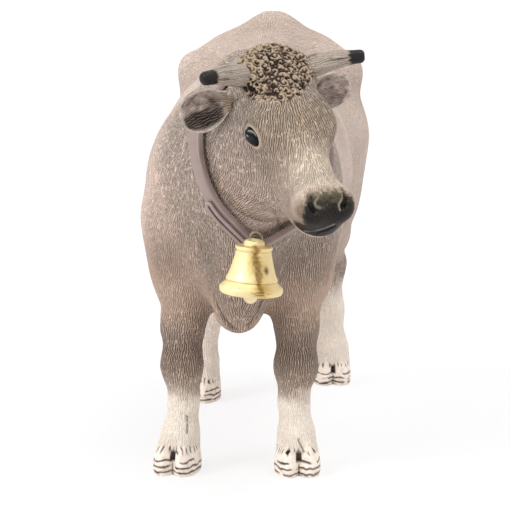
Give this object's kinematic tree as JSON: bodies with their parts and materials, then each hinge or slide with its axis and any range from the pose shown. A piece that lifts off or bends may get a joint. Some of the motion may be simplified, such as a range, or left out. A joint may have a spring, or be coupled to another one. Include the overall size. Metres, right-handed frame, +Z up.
{
  "type": "toy farm animal figure",
  "caption": "Standing horned cow toy figure with its head turned, a leather-look neck collar and a bell that swings.",
  "frame": {"origin": "centre of the figure's outline box, on the surface it stands on", "axes": "+Z up, -Y the way the trunk faces, +X to the cow's left"},
  "size_m": [0.0448, 0.1266, 0.0843],
  "materials": {
    "hide": "grey-brown painted coat with moulded fur strokes, a dark wash in the recesses and cream lower legs",
    "horn": "ochre and cream with lengthwise streaks and black tips",
    "eye": "gloss black",
    "udder_skin": "smooth pale pink cream",
    "collar_leather": "satin mauve brown with a dark ochre wash along its edges",
    "bell_gold": "pale gold paint with dark ochre weathering"
  },
  "bodies": {
    "root": {"torso": "hide", "head": "hide", "ear_left": "hide", "ear_right": "hide", "foreleg_left": "hide", "foreleg_right": "hide", "hindleg_left": "hide", "hindleg_right": "hide", "tail": "hide", "horn_left": "horn", "horn_right": "horn", "eye_left": "eye", "eye_right": "eye", "udder": "udder_skin", "collar_strap": "collar_leather", "bell_hanger": "collar_leather"},
    "bell": {"bell_shell": "bell_gold"},
    "clapper": {"clapper": "bell_gold"}
  },
  "joints": [
    {"name": "bell_swing", "type": "hinge", "parent": "root", "child": "bell", "pos_m": [0.00375, -0.04865, 0.04655], "axis": [0, 1, 0], "range_deg": [-28, 20]},
    {"name": "clapper_swing", "type": "hinge", "parent": "bell", "child": "clapper", "pos_m": [0.00351, -0.0518, 0.04306], "axis": [0, 1, 0], "range_deg": [-22, 22]}
  ]
}
